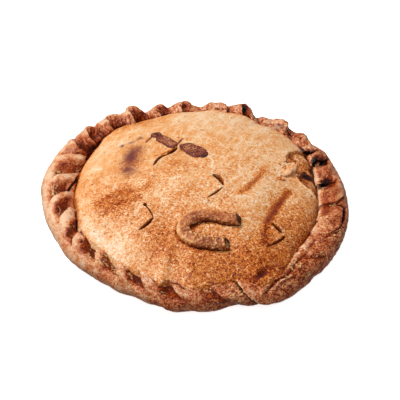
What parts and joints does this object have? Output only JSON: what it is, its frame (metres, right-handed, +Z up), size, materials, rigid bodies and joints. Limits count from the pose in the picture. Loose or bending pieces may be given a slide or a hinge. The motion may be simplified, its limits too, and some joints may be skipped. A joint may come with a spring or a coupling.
{
  "type": "empanada",
  "caption": "Whole round baked empanada with a domed golden lid, chevron vent slits, a bent dough strip on top and a dark rope-crimped border.",
  "frame": {"origin": "centre of the pie's box on the surface that it rests on", "axes": "+Z up out of the lid, -Y towards the front, where the dough strip lies, +X to the right of the front view"},
  "size_m": [0.2824, 0.2825, 0.041],
  "materials": {
    "lid_crust": "baked golden crust, satin",
    "border_crust": "dark baked crust, satin",
    "strip_crust": "brown baked crust, satin",
    "baked_juice": "dark baked-on juice, glossy"
  },
  "bodies": {
    "root": {"crust": "lid_crust", "dough_strip": "strip_crust"}
  },
  "joints": []
}
